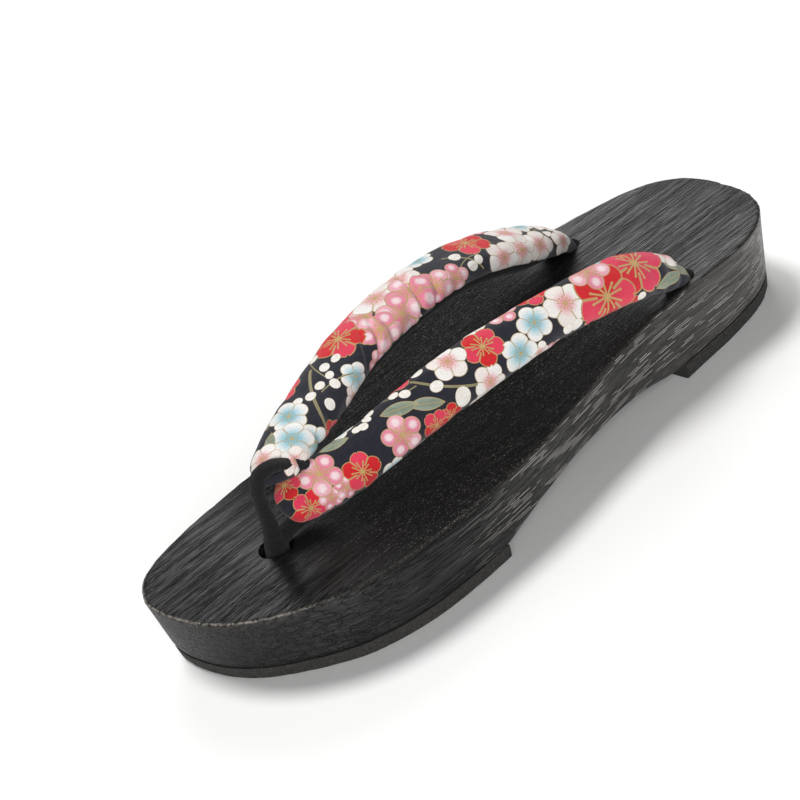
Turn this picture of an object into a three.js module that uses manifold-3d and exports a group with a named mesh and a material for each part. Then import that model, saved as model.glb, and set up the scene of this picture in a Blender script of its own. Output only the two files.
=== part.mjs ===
// A left-foot geta: a one-piece black-stained wooden platform with rubber pads under the
// forefoot and the heel, and a padded V strap held down in front by a felt thong.
// Millimetres, +Z up. The toe points to -Y, the outer side of the foot is +X,
// and the origin is on the ground under the middle of the sandal's box.
import * as THREE from 'three';
import { mergeVertices } from 'three/addons/utils/BufferGeometryUtils.js';
import Module from 'manifold-3d';

const wasm = await Module();
wasm.setup();

// Driving dimensions.
const LENGTH = 240;
const FRONT_PAD_THICK = 4.4;
const HEEL_PAD_THICK = 5.2;
const FRONT_PAD_END = -36;
const HEEL_BREAST = 56.5;
const GLUE_GAP = 0.3;
const EDGE_BREAK = 0.5;
const BALL_CHAMFER = 3.2;
const STRAP_HOLE_RADIUS = 4.9;
const THONG_HOLE_RADIUS = 5.2;
const HOLE_DEPTH = 11;
const HOLE_EASE = 0.5;
const THONG_HOLE = { x: 5.1, y: -84.4 };
const OUTER_HOLE = { x: 22.5, y: 68.0 };
const INNER_HOLE = { x: -26.4, y: 68.7 };
const LINING_SHARE = 0.28;
const LINING_GAP = 0.3;
const THONG_GAP = 0.4;
const OUTLINE_STEPS = 116;
const ARM_STEPS = 30;

// Plan of the footbed: the inner and the outer edge at each distance along the sandal.
const PLAN = [
  { y: -119.2, inner: -12.1, outer: 3.9 },
  { y: -117.2, inner: -16.3, outer: 11.7 },
  { y: -113.0, inner: -21.5, outer: 20.1 },
  { y: -107.0, inner: -24.7, outer: 27.3 },
  { y: -98.0, inner: -27.1, outer: 34.7 },
  { y: -85.0, inner: -28.9, outer: 41.1 },
  { y: -65.0, inner: -31.0, outer: 44.2 },
  { y: -40.0, inner: -34.7, outer: 43.7 },
  { y: -15.0, inner: -40.9, outer: 40.7 },
  { y: 10.0, inner: -44.2, outer: 35.9 },
  { y: 35.0, inner: -43.7, outer: 31.7 },
  { y: 60.0, inner: -40.7, outer: 29.7 },
  { y: 80.0, inner: -37.4, outer: 29.6 },
  { y: 92.0, inner: -35.0, outer: 28.5 },
  { y: 101.0, inner: -32.6, outer: 25.7 },
  { y: 108.0, inner: -29.5, outer: 21.6 },
  { y: 113.5, inner: -25.5, outer: 16.3 },
  { y: 117.2, inner: -20.5, outer: 9.9 },
  { y: 119.3, inner: -15.1, outer: 1.4 },
];
const TOE_TIP = { x: -4.3, y: -LENGTH / 2 };
const HEEL_TIP = { x: -7.3, y: LENGTH / 2 };

// Side view of the footbed: its height, and how far the ground edge stands in under the top edge.
const SIDE = [
  { y: -120, top: 22.6, tuck: 4.6 },
  { y: -103, top: 23.4, tuck: 4.4 },
  { y: -86, top: 24.0, tuck: 2.4 },
  { y: -66, top: 24.2, tuck: 0.6 },
  { y: -40, top: 23.8, tuck: 0.4 },
  { y: -18, top: 23.5, tuck: 0.4 },
  { y: 2, top: 24.2, tuck: 0.4 },
  { y: 22, top: 25.8, tuck: 0.4 },
  { y: 42, top: 27.5, tuck: 0.4 },
  { y: 58, top: 28.2, tuck: 0.6 },
  { y: 76, top: 28.3, tuck: 2.2 },
  { y: 92, top: 28.3, tuck: 3.6 },
  { y: 108, top: 28.4, tuck: 2.8 },
  { y: 120, top: 28.4, tuck: 1.2 },
];

// Underside of the wood between the two pads.
const ARCH = [
  { y: -36, z: 4.7 },
  { y: -28, z: 6.5 },
  { y: -17, z: 8.7 },
  { y: -6, z: 10.0 },
  { y: 5, z: 10.5 },
  { y: 16, z: 10.3 },
  { y: 28, z: 9.5 },
  { y: 39, z: 8.1 },
  { y: 49, z: 6.2 },
  { y: 56.5, z: 5.5 },
];

// Strap arms from the crossing to the tail in the rear hole: centre line, width, thickness,
// and the lean of the band, 0 lying flat and 90 standing on edge.
const OUTER_ARM = [
  { x: 6.4, y: -80.5, z: 36.2, wide: 11.5, thick: 6.8, lean: 40 },
  { x: 7.9, y: -74.0, z: 35.5, wide: 15.2, thick: 8.4, lean: 38 },
  { x: 10.1, y: -63.0, z: 35.7, wide: 16.2, thick: 9.0, lean: 38 },
  { x: 12.5, y: -48.0, z: 37.6, wide: 15.8, thick: 9.4, lean: 42 },
  { x: 14.3, y: -31.0, z: 40.2, wide: 16.0, thick: 9.6, lean: 45 },
  { x: 16.1, y: -15.0, z: 41.9, wide: 16.6, thick: 9.6, lean: 48 },
  { x: 18.0, y: 0.5, z: 42.7, wide: 15.8, thick: 9.6, lean: 50 },
  { x: 19.6, y: 16.0, z: 42.8, wide: 14.8, thick: 9.6, lean: 52 },
  { x: 21.0, y: 31.0, z: 41.8, wide: 15.0, thick: 9.6, lean: 52 },
  { x: 22.0, y: 46.0, z: 39.6, wide: 15.0, thick: 9.6, lean: 52 },
  { x: 22.7, y: 57.0, z: 35.8, wide: 13.4, thick: 9.2, lean: 50 },
  { x: 22.8, y: 64.0, z: 31.4, wide: 10.6, thick: 8.6, lean: 47 },
  { x: 22.5, y: 67.4, z: 26.4, wide: 9.0, thick: 8.4, lean: 45 },
  { x: 22.5, y: 68.2, z: 19.5, wide: 8.0, thick: 8.0, lean: 45 },
];
const INNER_ARM = [
  { x: 2.9, y: -79.5, z: 41.4, wide: 11.0, thick: 6.5, lean: 5 },
  { x: 0.3, y: -73.0, z: 43.0, wide: 15.0, thick: 8.5, lean: -5 },
  { x: -4.1, y: -62.0, z: 44.8, wide: 16.4, thick: 9.2, lean: -12 },
  { x: -9.1, y: -46.0, z: 47.1, wide: 17.6, thick: 9.8, lean: -12 },
  { x: -13.6, y: -30.0, z: 50.0, wide: 17.6, thick: 10.0, lean: -10 },
  { x: -16.9, y: -13.0, z: 51.4, wide: 18.2, thick: 10.0, lean: -8 },
  { x: -19.4, y: 3.0, z: 51.3, wide: 18.4, thick: 10.0, lean: -6 },
  { x: -21.4, y: 19.0, z: 49.6, wide: 18.2, thick: 10.0, lean: -6 },
  { x: -22.5, y: 35.0, z: 45.6, wide: 17.8, thick: 10.0, lean: -8 },
  { x: -24.0, y: 49.5, z: 39.8, wide: 16.6, thick: 9.8, lean: -12 },
  { x: -25.2, y: 59.6, z: 35.0, wide: 14.0, thick: 9.4, lean: -8 },
  { x: -26.0, y: 65.0, z: 30.8, wide: 10.6, thick: 8.6, lean: 10 },
  { x: -26.4, y: 68.2, z: 25.6, wide: 8.8, thick: 8.4, lean: 30 },
  { x: -26.4, y: 69.0, z: 19.5, wide: 8.0, thick: 8.0, lean: 45 },
];
const LINING_FROM = 0.25;
const LINING_TO = 0.83;

// The thong's loop: down in front of the crossing into the hole, and back up behind it.
const THONG_FRONT = [
  { x: 5.3, y: -66.0, z: 38.0, wide: 4.8, thick: 3.4 },
  { x: 4.9, y: -68.6, z: 41.6, wide: 5.0, thick: 3.4 },
  { x: 4.5, y: -72.6, z: 44.4, wide: 5.4, thick: 3.4 },
  { x: 4.3, y: -77.6, z: 46.4, wide: 5.6, thick: 3.4 },
  { x: 4.2, y: -81.4, z: 45.9, wide: 5.2, thick: 3.6 },
  { x: 4.3, y: -83.7, z: 42.6, wide: 4.8, thick: 3.8 },
  { x: 4.4, y: -84.0, z: 38.2, wide: 4.4, thick: 3.8 },
  { x: 4.6, y: -83.8, z: 33.2, wide: 4.6, thick: 4.0 },
  { x: 4.9, y: -83.9, z: 28.6, wide: 5.4, thick: 4.8 },
  { x: 5.1, y: -84.2, z: 24.5, wide: 6.8, thick: 6.4 },
  { x: 5.1, y: -84.4, z: 14.0, wide: 8.0, thick: 8.0 },
];
const THONG_BACK = [
  { x: 4.8, y: -70.0, z: 42.6, wide: 4.6, thick: 3.4 },
  { x: 5.1, y: -66.9, z: 39.6, wide: 5.0, thick: 3.6 },
  { x: 5.5, y: -65.0, z: 34.8, wide: 5.0, thick: 3.6 },
  { x: 5.7, y: -66.6, z: 29.8, wide: 5.0, thick: 3.6 },
  { x: 5.7, y: -71.5, z: 27.6, wide: 5.0, thick: 3.8 },
  { x: 5.5, y: -77.5, z: 27.2, wide: 5.0, thick: 4.2 },
  { x: 5.2, y: -82.3, z: 25.8, wide: 5.6, thick: 4.8 },
];

const WOOD = new THREE.MeshStandardMaterial({ color: 0x1b1a19, roughness: 0.55, metalness: 0 });
const RUBBER = new THREE.MeshStandardMaterial({ color: 0x24211f, roughness: 0.9, metalness: 0 });
const COTTON = new THREE.MeshStandardMaterial({ color: 0xb0596a, roughness: 0.85, metalness: 0 });
const VELVET = new THREE.MeshStandardMaterial({ color: 0x0d0d0e, roughness: 0.95, metalness: 0 });
const FELT = new THREE.MeshStandardMaterial({ color: 0x141414, roughness: 0.95, metalness: 0 });

const X_AXIS = new THREE.Vector3(1, 0, 0);

function clamp01(t) {
  return Math.min(1, Math.max(0, t));
}

function smooth(t) {
  const k = clamp01(t);
  return k * k * (3 - 2 * k);
}

// Value of one column of a table at y, eased between the rows by a cubic.
function column(rows, name, y) {
  if (y <= rows[0].y) return rows[0][name];
  const last = rows.length - 1;
  if (y >= rows[last].y) return rows[last][name];
  let k = 0;
  while (rows[k + 1].y < y) k += 1;
  const slope = (i) => {
    const a = rows[Math.max(0, i - 1)];
    const b = rows[Math.min(last, i + 1)];
    return (b[name] - a[name]) / (b.y - a.y);
  };
  const h = rows[k + 1].y - rows[k].y;
  const t = (y - rows[k].y) / h;
  const p = rows[k][name];
  const q = rows[k + 1][name];
  const t2 = t * t;
  const t3 = t2 * t;
  return p * (2 * t3 - 3 * t2 + 1) + q * (3 * t2 - 2 * t3)
    + h * slope(k) * (t3 - 2 * t2 + t) + h * slope(k + 1) * (t3 - t2);
}

// Closed mesh through a stack of rings of equal count, with the first and last ring capped.
function loft(rings, capPlane) {
  const count = rings[0].length;
  const position = [];
  const index = [];
  for (const ring of rings) {
    for (const p of ring) position.push(p.x, p.y, p.z);
  }
  for (let r = 0; r < rings.length - 1; r += 1) {
    for (let i = 0; i < count; i += 1) {
      const a = r * count + i;
      const b = r * count + (i + 1) % count;
      index.push(a, b, a + count, b, b + count, a + count);
    }
  }
  const ends = [0, rings.length - 1];
  for (const r of ends) {
    const flat = rings[r].map((p) => capPlane(p, r));
    const turned = THREE.ShapeUtils.area(flat) < 0;
    const faces = THREE.ShapeUtils.triangulateShape(turned ? flat.slice().reverse() : flat, []);
    for (const face of faces) {
      const f = face.map((i) => r * count + (turned ? count - 1 - i : i));
      index.push(f[0], f[1], f[2]);
    }
  }
  const geometry = new THREE.BufferGeometry();
  geometry.setAttribute('position', new THREE.Float32BufferAttribute(position, 3));
  geometry.setIndex(index);
  return geometry;
}

// Turns every triangle of each end cap so that the closed mesh is consistent.
function closed(rings, normalAt) {
  const count = rings[0].length;
  const frames = rings.map((ring, r) => {
    const n = normalAt(r);
    const u = new THREE.Vector3().subVectors(ring[1], ring[0]);
    u.addScaledVector(n, -u.dot(n)).normalize();
    const v = new THREE.Vector3().crossVectors(n, u);
    return { u, v };
  });
  const geometry = loft(rings, (p, r) => new THREE.Vector2(p.dot(frames[r].u), p.dot(frames[r].v)));
  const index = Array.from(geometry.index.array);
  const sides = (rings.length - 1) * count * 6;
  const edges = new Set();
  for (let i = 0; i < sides; i += 3) {
    for (let e = 0; e < 3; e += 1) edges.add(`${index[i + e]},${index[i + (e + 1) % 3]}`);
  }
  for (let i = sides; i < index.length; i += 3) {
    let wrong = false;
    for (let e = 0; e < 3; e += 1) {
      if (edges.has(`${index[i + e]},${index[i + (e + 1) % 3]}`)) wrong = true;
    }
    if (wrong) flipCap(index, i, sides, count, rings.length);
  }
  geometry.setIndex(index);
  return geometry;
}

// Flips every triangle of the cap that the triangle at i belongs to.
function flipCap(index, i, sides, count, ringCount) {
  const first = index[i] < count;
  for (let k = sides; k < index.length; k += 3) {
    const mine = first ? index[k] < count : index[k] >= (ringCount - 1) * count;
    if (mine) [index[k + 1], index[k + 2]] = [index[k + 2], index[k + 1]];
  }
}

function toSolid(geometry) {
  const bare = geometry.clone();
  bare.deleteAttribute('normal');
  bare.deleteAttribute('uv');
  const merged = mergeVertices(bare, 1e-4);
  const solid = new wasm.Manifold(new wasm.Mesh({
    numProp: 3,
    vertProperties: new Float32Array(merged.attributes.position.array),
    triVerts: new Uint32Array(merged.index.array),
  }));
  return solid;
}

function outward(geometry) {
  const p = geometry.attributes.position;
  const ix = Array.from(geometry.index.array);
  const a = new THREE.Vector3();
  const b = new THREE.Vector3();
  const c = new THREE.Vector3();
  let volume = 0;
  for (let i = 0; i < ix.length; i += 3) {
    a.fromBufferAttribute(p, ix[i]);
    b.fromBufferAttribute(p, ix[i + 1]);
    c.fromBufferAttribute(p, ix[i + 2]);
    volume += a.dot(b.cross(c));
  }
  if (volume < 0) {
    for (let i = 0; i < ix.length; i += 3) [ix[i + 1], ix[i + 2]] = [ix[i + 2], ix[i + 1]];
    geometry.setIndex(ix);
  }
  return geometry;
}

function toGeometry(solid) {
  const mesh = solid.getMesh();
  const geometry = new THREE.BufferGeometry();
  geometry.setAttribute('position', new THREE.Float32BufferAttribute(mesh.vertProperties, 3));
  geometry.setIndex(Array.from(mesh.triVerts));
  geometry.computeVertexNormals();
  return geometry;
}

function part(name, solid, material) {
  const mesh = new THREE.Mesh(toGeometry(solid), material);
  mesh.name = name;
  return mesh;
}

// Plan outline with its inward normals, going round from the toe tip by the outer side.
// Each point of the outer side has a partner at the same y on the inner side.
function planOutline() {
  const around = [TOE_TIP];
  for (const row of PLAN) around.push({ x: row.outer, y: row.y });
  around.push(HEEL_TIP);
  for (const row of PLAN.slice().reverse()) around.push({ x: row.inner, y: row.y });
  const points = around.map((p) => new THREE.Vector3(p.x, p.y, 0));
  const curve = new THREE.CatmullRomCurve3(points, true, 'centripetal');
  const turn = (PLAN.length + 1) / around.length;
  const half = OUTLINE_STEPS / 2;
  const outline = [];
  for (let i = 0; i < OUTLINE_STEPS; i += 1) {
    const outerSide = i <= half;
    const k = outerSide ? i : OUTLINE_STEPS - i;
    const y = -LENGTH / 2 * Math.cos(Math.PI * k / half);
    let low = outerSide ? 0 : 1;
    let high = turn;
    for (let n = 0; n < 40; n += 1) {
      const mid = (low + high) / 2;
      if (curve.getPoint(mid).y < y) low = mid;
      else high = mid;
    }
    const p = curve.getPoint(low);
    const t = curve.getTangent(low);
    outline.push({ x: p.x, y, nx: -t.y, ny: t.x });
  }
  return outline;
}

// Closed mesh through rings whose two sides are paired, with both ends zipped across.
function zipped(rings) {
  const count = rings[0].length;
  const position = rings.flatMap((ring) => ring.flatMap((p) => [p.x, p.y, p.z]));
  const index = [];
  for (let r = 0; r < rings.length - 1; r += 1) {
    for (let i = 0; i < count; i += 1) {
      const a = r * count + i;
      const b = r * count + (i + 1) % count;
      index.push(a, b, a + count, b, b + count, a + count);
    }
  }
  const top = (rings.length - 1) * count;
  for (let i = 0; i < count / 2; i += 1) {
    const near = [i, i + 1];
    const far = [(count - i) % count, count - i - 1];
    const faces = [[near[0], far[1], near[1]], [near[0], far[0], far[1]]];
    for (const f of faces) {
      if (new Set(f).size === 3) {
        index.push(f[0], f[1], f[2]);
        index.push(top + f[0], top + f[2], top + f[1]);
      }
    }
  }
  const geometry = new THREE.BufferGeometry();
  geometry.setAttribute('position', new THREE.Float32BufferAttribute(position, 3));
  geometry.setIndex(index);
  return geometry;
}

// Depth of the broken top edge: wide along the ball of the foot on the outer side, narrow elsewhere.
function edgeBreak(p) {
  const outerSide = smooth((-p.nx - 0.55) / 0.35);
  const ball = smooth((p.y + 104) / 22) * smooth((-26 - p.y) / 22);
  return EDGE_BREAK + (BALL_CHAMFER - EDGE_BREAK) * outerSide * ball;
}

function platformBlank() {
  const outline = planOutline();
  const ring = (inset, height) => outline.map((p) => {
    const d = inset(p);
    const x = p.x + p.nx * d;
    const y = p.y + p.ny * d;
    return new THREE.Vector3(x, y, height(p, y));
  });
  const rings = [
    ring((p) => column(SIDE, 'tuck', p.y), () => 0),
    ring(() => 0, (p, y) => column(SIDE, 'top', y) - edgeBreak(p) * 0.9),
    ring((p) => edgeBreak(p), (p, y) => column(SIDE, 'top', y)),
  ];
  return toSolid(outward(zipped(rings)));
}

function box(x0, x1, y0, y1, z0, z1) {
  const geometry = new THREE.BoxGeometry(x1 - x0, y1 - y0, z1 - z0);
  geometry.translate((x0 + x1) / 2, (y0 + y1) / 2, (z0 + z1) / 2);
  return toSolid(geometry);
}

function hole(place, radius, floor) {
  const height = 60 - floor;
  const geometry = new THREE.CylinderGeometry(radius, radius, height, 28);
  geometry.rotateX(Math.PI / 2);
  geometry.translate(place.x, place.y, floor + height / 2);
  return toSolid(geometry);
}

// Everything under the arch, right across the sandal.
function archCut() {
  const shape = new THREE.Shape();
  shape.moveTo(ARCH[0].y, -5);
  const steps = 28;
  const span = ARCH[ARCH.length - 1].y - ARCH[0].y;
  for (let i = 0; i <= steps; i += 1) {
    const y = ARCH[0].y + span * i / steps;
    shape.lineTo(y, column(ARCH, 'z', y));
  }
  shape.lineTo(ARCH[ARCH.length - 1].y, -5);
  const geometry = new THREE.ExtrudeGeometry(shape, { depth: 120, bevelEnabled: false, steps: 1 });
  const turn = new THREE.Matrix4().makeBasis(
    new THREE.Vector3(0, 1, 0),
    new THREE.Vector3(0, 0, 1),
    new THREE.Vector3(1, 0, 0),
  );
  geometry.applyMatrix4(turn);
  geometry.translate(-60, 0, 0);
  return toSolid(geometry);
}

// Centre line, sizes and directions along a strap arm or the thong.
function stations(rows, side, steps, from, to) {
  const place = new THREE.CatmullRomCurve3(
    rows.map((r) => new THREE.Vector3(r.x, r.y, r.z)),
    false,
    'centripetal',
  );
  const size = new THREE.CatmullRomCurve3(
    rows.map((r) => new THREE.Vector3(r.wide, r.thick, r.lean ?? 0)),
    false,
    'centripetal',
  );
  const list = [];
  for (let i = 0; i <= steps; i += 1) {
    const u = from + (to - from) * i / steps;
    const t = place.getTangent(u);
    const out = X_AXIS.clone().multiplyScalar(side);
    out.addScaledVector(t, -out.dot(t)).normalize();
    const up = new THREE.Vector3().crossVectors(out, t).multiplyScalar(side);
    const s = size.getPoint(u);
    const lean = THREE.MathUtils.degToRad(s.z);
    const across = out.clone().multiplyScalar(Math.cos(lean)).addScaledVector(up, -Math.sin(lean));
    const face = out.clone().multiplyScalar(Math.sin(lean)).addScaledVector(up, Math.cos(lean));
    list.push({ p: place.getPoint(u), t, across, face, wide: s.x, thick: s.y });
  }
  return list;
}

// Rounded band section as a closed loop; the parts above and below the lining line are separate.
function sectionLoop(wide, thick, layer, grow) {
  const roundness = 2 / 2.3;
  const at = (a) => {
    const c = Math.cos(a);
    const s = Math.sin(a);
    return new THREE.Vector2(
      Math.sign(c) * Math.abs(c) ** roundness * (wide / 2 + grow),
      Math.sign(s) * Math.abs(s) ** roundness * (thick / 2 + grow),
    );
  };
  if (layer === 'whole') {
    return Array.from({ length: 18 }, (_, i) => at(i / 18 * Math.PI * 2));
  }
  const cut = -0.5 + LINING_SHARE;
  const dip = Math.asin(Math.min(1, (-cut * 2) ** (1 / roundness)));
  const loop = [];
  if (layer === 'cover') {
    const n = 15;
    for (let i = 0; i <= n; i += 1) loop.push(at(-dip + (Math.PI + 2 * dip) * i / n));
  } else {
    const n = 9;
    const squeeze = 0.05;
    for (let i = 0; i <= n; i += 1) {
      const q = at(Math.PI + dip + squeeze + (Math.PI - 2 * dip - 2 * squeeze) * i / n);
      loop.push(new THREE.Vector2(q.x, Math.min(q.y, cut * thick - LINING_GAP)));
    }
  }
  return loop;
}

function band(list, layer, grow) {
  const rings = list.map((s) => sectionLoop(s.wide, s.thick, layer, grow).map((q) => s.p.clone()
    .addScaledVector(s.across, q.x)
    .addScaledVector(s.face, q.y)));
  return toSolid(outward(closed(rings, (r) => list[r].t)));
}

// Platform and pads.
const blank = platformBlank();
const frontPad = blank.intersect(box(-60, 60, -140, FRONT_PAD_END, -1, FRONT_PAD_THICK));
const heelPad = blank.intersect(box(-60, 60, HEEL_BREAST, 140, -1, HEEL_PAD_THICK));
const wood = blank
  .subtract(archCut())
  .subtract(box(-60, 60, -140, FRONT_PAD_END + 0.01, -1, FRONT_PAD_THICK + GLUE_GAP))
  .subtract(box(-60, 60, HEEL_BREAST - 0.01, 140, -1, HEEL_PAD_THICK + GLUE_GAP))
  .subtract(hole(THONG_HOLE, THONG_HOLE_RADIUS, column(SIDE, 'top', THONG_HOLE.y) - HOLE_DEPTH))
  .subtract(hole(OUTER_HOLE, STRAP_HOLE_RADIUS, column(SIDE, 'top', OUTER_HOLE.y) - HOLE_DEPTH))
  .subtract(hole(INNER_HOLE, STRAP_HOLE_RADIUS, column(SIDE, 'top', INNER_HOLE.y) - HOLE_DEPTH));

// Thong, then the strap squeezed under it. The holes are eased where the strap bends into them.
const thongFront = stations(THONG_FRONT, 1, 22, 0, 1);
const thongBack = stations(THONG_BACK, 1, 20, 0, 1);
const thong = band(thongFront, 'whole', 0).add(band(thongBack, 'whole', 0));
const thongRoom = band(thongFront, 'whole', THONG_GAP).add(band(thongBack, 'whole', THONG_GAP));

const outerArm = stations(OUTER_ARM, 1, ARM_STEPS, 0, 1);
const innerArm = stations(INNER_ARM, -1, ARM_STEPS, 0, 1);
const cover = band(outerArm, 'cover', 0).add(band(innerArm, 'cover', 0)).subtract(thongRoom);
const liningSteps = 22;
const outerLining = band(stations(OUTER_ARM, 1, liningSteps, LINING_FROM, LINING_TO), 'lining', 0);
const innerLining = band(stations(INNER_ARM, -1, liningSteps, LINING_FROM, LINING_TO), 'lining', 0);

const platform = wood
  .subtract(thongRoom)
  .subtract(band(outerArm, 'whole', HOLE_EASE))
  .subtract(band(innerArm, 'whole', HOLE_EASE));

const geta = new THREE.Group();
geta.add(part('platform', platform, WOOD));
geta.add(part('sole_front', frontPad, RUBBER));
geta.add(part('sole_heel', heelPad, RUBBER));
geta.add(part('strap_cover', cover, COTTON));
geta.add(part('lining_outer', outerLining, VELVET));
geta.add(part('lining_inner', innerLining, VELVET));
geta.add(part('thong', thong, FELT));

export default geta;
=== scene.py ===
# %% [markdown]
# # A wooden sandal with a padded V strap
# This lesson dresses a packed sandal: a black-stained wooden platform on two rubber pads,
# a padded strap in printed cotton, and a felt thong that holds the strap down between the toes.
# The imported solids give every size, so each piece here is made in the same frame, in metres,
# and takes the place of its solid. First the frame is loaded and its solids are listed.

# %% Load the frame
import math
import bpy
import numpy as np
from mathutils import Matrix, Vector


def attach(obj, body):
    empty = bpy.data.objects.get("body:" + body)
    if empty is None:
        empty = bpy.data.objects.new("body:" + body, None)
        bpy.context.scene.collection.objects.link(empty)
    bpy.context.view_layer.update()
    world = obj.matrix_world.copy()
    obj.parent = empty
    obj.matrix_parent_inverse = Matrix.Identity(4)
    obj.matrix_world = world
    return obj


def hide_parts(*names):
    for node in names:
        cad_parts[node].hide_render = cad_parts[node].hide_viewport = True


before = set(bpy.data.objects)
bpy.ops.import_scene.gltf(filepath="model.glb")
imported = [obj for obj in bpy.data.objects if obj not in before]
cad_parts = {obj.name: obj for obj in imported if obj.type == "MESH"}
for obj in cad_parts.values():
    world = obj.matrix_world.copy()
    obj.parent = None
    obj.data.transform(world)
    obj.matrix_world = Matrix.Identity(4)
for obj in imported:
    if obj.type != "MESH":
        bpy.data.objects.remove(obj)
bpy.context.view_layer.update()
MM = 0.001
print("solids:", sorted(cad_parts))

# %% [markdown]
# ## The camera
# A still life is easiest to match when the camera comes first. The view is from the outer side
# of the toe, 30 degrees above the ground, through a long lens, and the frame is rolled a little,
# so that the sandal runs from the lower left corner to the upper right one.
# The camera's matrix is built from its own right, up and back directions.

# %% Set the camera
VIEW_AZIMUTH = math.radians(55.5)
VIEW_ELEVATION = math.radians(30.0)
VIEW_ROLL = math.radians(-17.0)
VIEW_DISTANCE = 720.25
VIEW_TARGET = np.array([-22.9, -11.065, 20.0])
LENS = 108.0
SENSOR = 36.0


def view_directions():
    a, e, r = VIEW_AZIMUTH, VIEW_ELEVATION, VIEW_ROLL
    back = np.array([math.sin(a) * math.cos(e), -math.cos(a) * math.cos(e), math.sin(e)])
    level = np.array([math.cos(a), math.sin(a), 0.0])
    upright = np.cross(back, level)
    right = math.cos(r) * level + math.sin(r) * upright
    up = -math.sin(r) * level + math.cos(r) * upright
    return right, up, back


def set_camera():
    right, up, back = view_directions()
    data = bpy.data.cameras.new("product_view")
    data.lens = LENS
    data.sensor_width = SENSOR
    data.clip_end = 20
    camera = bpy.data.objects.new("product_view", data)
    bpy.context.scene.collection.objects.link(camera)
    place = (VIEW_TARGET + VIEW_DISTANCE * back) * MM
    axes = np.stack([right, up, back, place], axis=1)
    camera.matrix_world = Matrix([*axes.tolist(), [0, 0, 0, 1]])
    bpy.context.scene.camera = camera
    return camera


camera = set_camera()
print("camera at", [round(v, 3) for v in camera.location])

# %% [markdown]
# ## Curves through measured rows
# Every long shape on this sandal is known by a few measured rows: the outline of the footbed,
# its height, and the run of the straps. A smooth curve has to pass through the rows. A cubic
# that takes its slope from the neighbouring rows does that without overshooting much.

# %% Curves through rows
def through(knots, rows, at):
    """Rows at the places 'at', on a cubic through 'rows' at 'knots'."""
    k = np.asarray(knots, float)
    r = np.asarray(rows, float)
    slope = np.empty_like(r)
    slope[1:-1] = (r[2:] - r[:-2]) / (k[2:] - k[:-2])[:, None]
    slope[0] = (r[1] - r[0]) / (k[1] - k[0])
    slope[-1] = (r[-1] - r[-2]) / (k[-1] - k[-2])
    x = np.clip(np.asarray(at, float), k[0], k[-1])
    i = np.clip(np.searchsorted(k, x, side="right") - 1, 0, len(k) - 2)
    h = (k[i + 1] - k[i])[:, None]
    t = (x - k[i])[:, None] / h
    return (
        r[i] * (2 * t**3 - 3 * t**2 + 1)
        + r[i + 1] * (3 * t**2 - 2 * t**3)
        + h * slope[i] * (t**3 - 2 * t**2 + t)
        + h * slope[i + 1] * (t**3 - t**2)
    )


def run_length(points):
    return np.concatenate([[0], np.cumsum(np.linalg.norm(np.diff(points, axis=0), axis=1))])


def even_run(rows, count):
    """The rows at 'count' places that are evenly spaced along their curve, and the distances."""
    r = np.asarray(rows, float)
    knots = run_length(r[:, :3])
    fine = np.linspace(0, knots[-1], 2400)
    length = run_length(through(knots, r, fine)[:, :3])
    along = np.linspace(0, length[-1], count)
    return along, through(knots, r, np.interp(along, length, fine))


def eased(t):
    t = np.clip(t, 0, 1)
    return t * t * (3 - 2 * t)


def ripple(points, seed, size, octaves=3):
    """Smooth pseudo-random heights, about -1 to 1, from a few sine waves; size is a wavelength per axis."""
    rng = np.random.default_rng(seed)
    total = np.zeros(len(points))
    for octave in range(octaves):
        for _ in range(5):
            way = rng.normal(size=points.shape[1])
            way = way / np.linalg.norm(way) * 2 * math.pi / np.asarray(size) * 1.9**octave
            total += np.sin(points @ way + rng.uniform(0, 6.28)) * 0.6**octave
    return total / 4.5


def make_piece(name, points, faces, smooth=True):
    """A mesh object from points in millimetres."""
    mesh = bpy.data.meshes.new(name)
    mesh.from_pydata((np.asarray(points) * MM).tolist(), [], [list(f) for f in faces])
    mesh.validate()
    mesh.polygons.foreach_set("use_smooth", [smooth] * len(mesh.polygons))
    piece = bpy.data.objects.new(name, mesh)
    bpy.context.scene.collection.objects.link(piece)
    return piece


print("curve helpers ready")

# %% [markdown]
# ## The wooden platform
# The platform is cut from one block: a shaped outline, a footbed that rises to the heel, and an
# arch cut away underneath. A box with bevels can't follow that, so the outline is sampled all
# round, and rings of it are stacked from the underside to the footbed. Each point on the outer
# edge has a partner on the inner edge at the same distance along the sandal, so the footbed and
# the underside close with clean rows of faces. The top edge is broken by hand tools: narrow at
# the heel, and a broad worn slope beside the ball of the foot.

# %% Platform tables
# Each row: distance along, inner edge, outer edge.
PLAN = [
    (-119.2, -12.1, 3.9), (-117.2, -16.3, 11.7), (-113.0, -21.5, 20.1), (-107.0, -24.7, 27.3),
    (-98.0, -27.1, 34.7), (-85.0, -28.9, 41.1), (-65.0, -31.0, 44.2), (-40.0, -34.7, 43.7),
    (-15.0, -40.9, 40.7), (10.0, -44.2, 35.9), (35.0, -43.7, 31.7), (60.0, -40.7, 29.7),
    (80.0, -37.4, 29.6), (92.0, -35.0, 28.5), (101.0, -32.6, 25.7), (108.0, -29.5, 21.6),
    (113.5, -25.5, 16.3), (117.2, -20.5, 9.9), (119.3, -15.1, 1.4),
]
TOE_TIP = (-4.3, -120.0)
HEEL_TIP = (-7.3, 120.0)
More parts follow.
